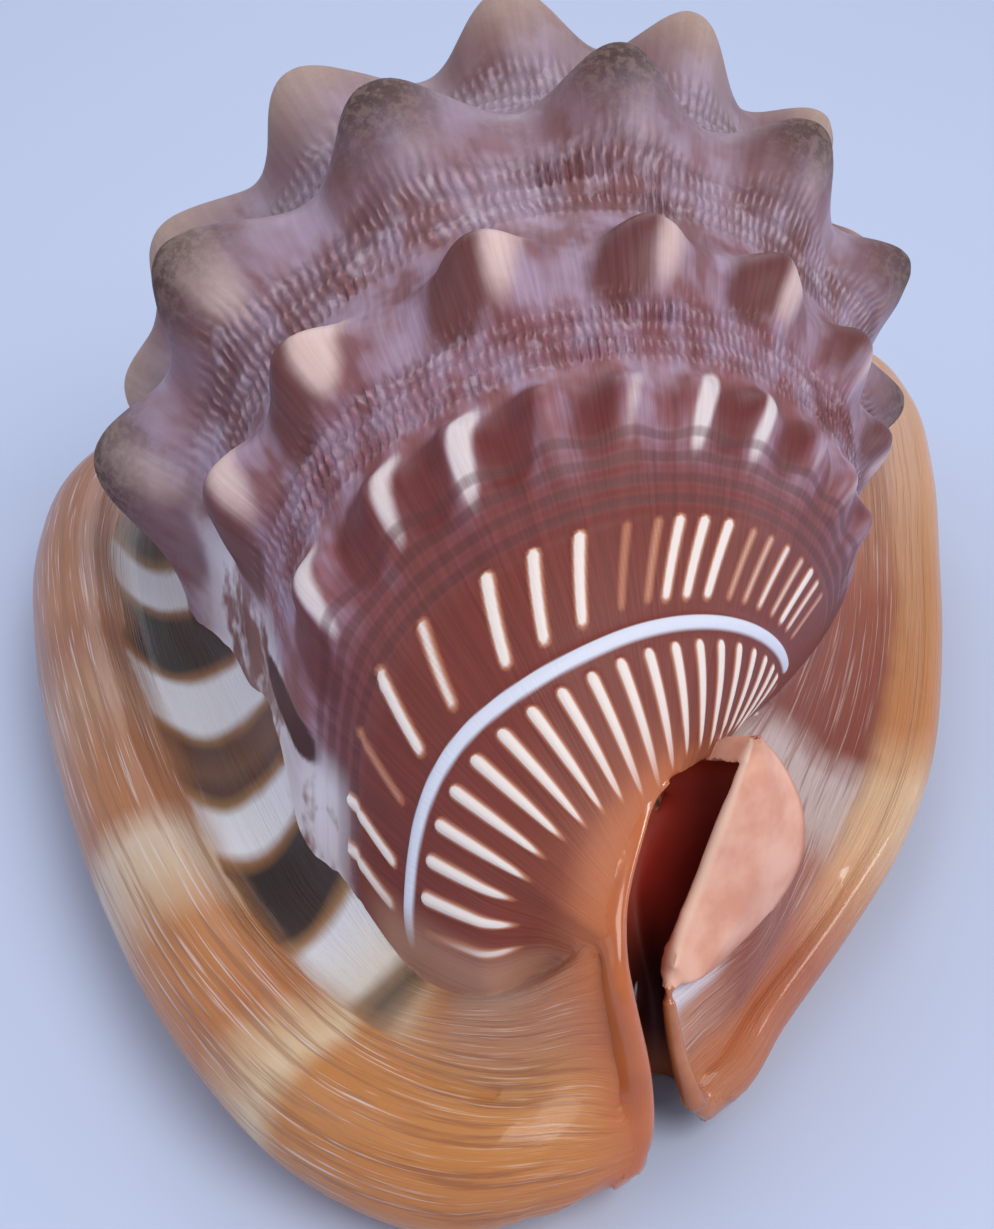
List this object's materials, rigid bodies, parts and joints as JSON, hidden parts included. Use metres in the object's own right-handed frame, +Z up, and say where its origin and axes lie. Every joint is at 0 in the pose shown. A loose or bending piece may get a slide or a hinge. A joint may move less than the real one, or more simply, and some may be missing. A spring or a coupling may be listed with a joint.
{
  "type": "helmet shell",
  "caption": "Heavy domed sea snail shell with rows of blunt knobs, a rolled outer lip, a broad shield and a short upturned canal, resting mouth down.",
  "frame": {"origin": "centre of the bounding box's bottom, on the surface that the shell rests on", "axes": "+Y from the siphonal canal to the spire, +Z up from the mouth to the knobbed back, +X from the outer lip to the shield"},
  "size_m": [0.1264, 0.1528, 0.0803],
  "materials": {
    "shell": "satin, glossy on the lips"
  },
  "bodies": {
    "root": {"shell": "shell"}
  },
  "joints": []
}
